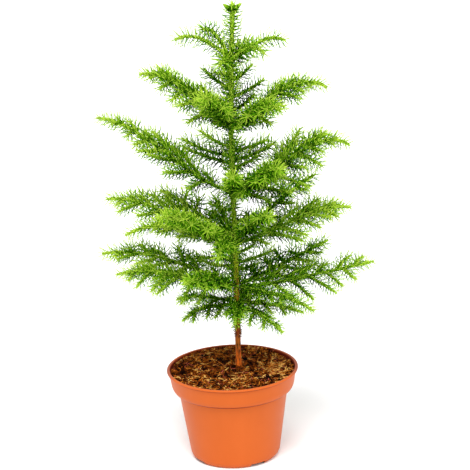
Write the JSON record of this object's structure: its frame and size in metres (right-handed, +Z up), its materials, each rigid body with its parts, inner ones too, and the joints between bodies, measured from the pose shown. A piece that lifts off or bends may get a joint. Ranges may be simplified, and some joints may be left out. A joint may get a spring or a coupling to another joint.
{
  "type": "potted norfolk island pine",
  "caption": "Young potted conifer with tiers of flat needle-covered boughs on one slim trunk, in a banded plastic nursery pot; a tabletop or floor decoration.",
  "frame": {"origin": "middle of the pot's flat underside, on the surface that it stands on", "axes": "+Z up along the pot's axis, -Y towards the viewer of the picture, +X to the viewer's right"},
  "size_m": [0.3489, 0.2618, 0.5958],
  "materials": {
    "terracotta_plastic": "satin terracotta-coloured moulded plastic",
    "potting_mix": "loose dark coir and bark mix",
    "trunk_bark": "scaly young bark, brown low down and green towards the top",
    "bough_bark": "green to brown bough bark",
    "needle_foliage": "soft green needles on green twigs"
  },
  "bodies": {
    "root": {"bough_2a": "bough_bark", "bough_2b": "bough_bark", "bough_2c": "bough_bark", "bough_2d": "bough_bark", "bough_2e": "bough_bark", "bough_2f": "bough_bark", "bough_2g": "bough_bark", "bough_3a": "bough_bark", "bough_3b": "bough_bark", "bough_3d": "bough_bark", "bough_3e": "bough_bark", "bough_3f": "bough_bark", "bough_3g": "bough_bark", "bough_4a": "bough_bark", "bough_4b": "bough_bark", "bough_4d": "bough_bark", "foliage_1a": "needle_foliage", "foliage_1b": "needle_foliage", "foliage_1c": "needle_foliage", "foliage_1d": "needle_foliage", "foliage_1e": "needle_foliage", "foliage_1f": "needle_foliage", "foliage_2a": "needle_foliage", "foliage_2b": "needle_foliage", "foliage_2c": "needle_foliage", "foliage_2d": "needle_foliage", "foliage_2e": "needle_foliage", "foliage_2f": "needle_foliage", "foliage_2g": "needle_foliage", "foliage_3a": "needle_foliage", "foliage_3b": "needle_foliage", "foliage_3c": "needle_foliage", "foliage_3d": "needle_foliage", "foliage_3e": "needle_foliage", "foliage_3f": "needle_foliage", "foliage_3g": "needle_foliage", "foliage_3h": "needle_foliage", "foliage_3i": "needle_foliage", "foliage_4a": "needle_foliage", "foliage_4b": "needle_foliage", "foliage_4c": "needle_foliage", "foliage_4d": "needle_foliage", "foliage_4e": "needle_foliage", "foliage_4f": "needle_foliage", "foliage_5a": "needle_foliage", "foliage_5b": "needle_foliage", "foliage_5c": "needle_foliage", "foliage_5d": "needle_foliage", "foliage_5e": "needle_foliage", "foliage_5f": "needle_foliage", "foliage_6a": "needle_foliage", "foliage_6b": "needle_foliage", "foliage_6c": "needle_foliage", "foliage_6d": "needle_foliage", "foliage_6e": "needle_foliage", "foliage_6f": "needle_foliage", "foliage_leader": "needle_foliage", "pot": "terracotta_plastic", "soil": "potting_mix", "trunk": "trunk_bark"}
  },
  "joints": []
}
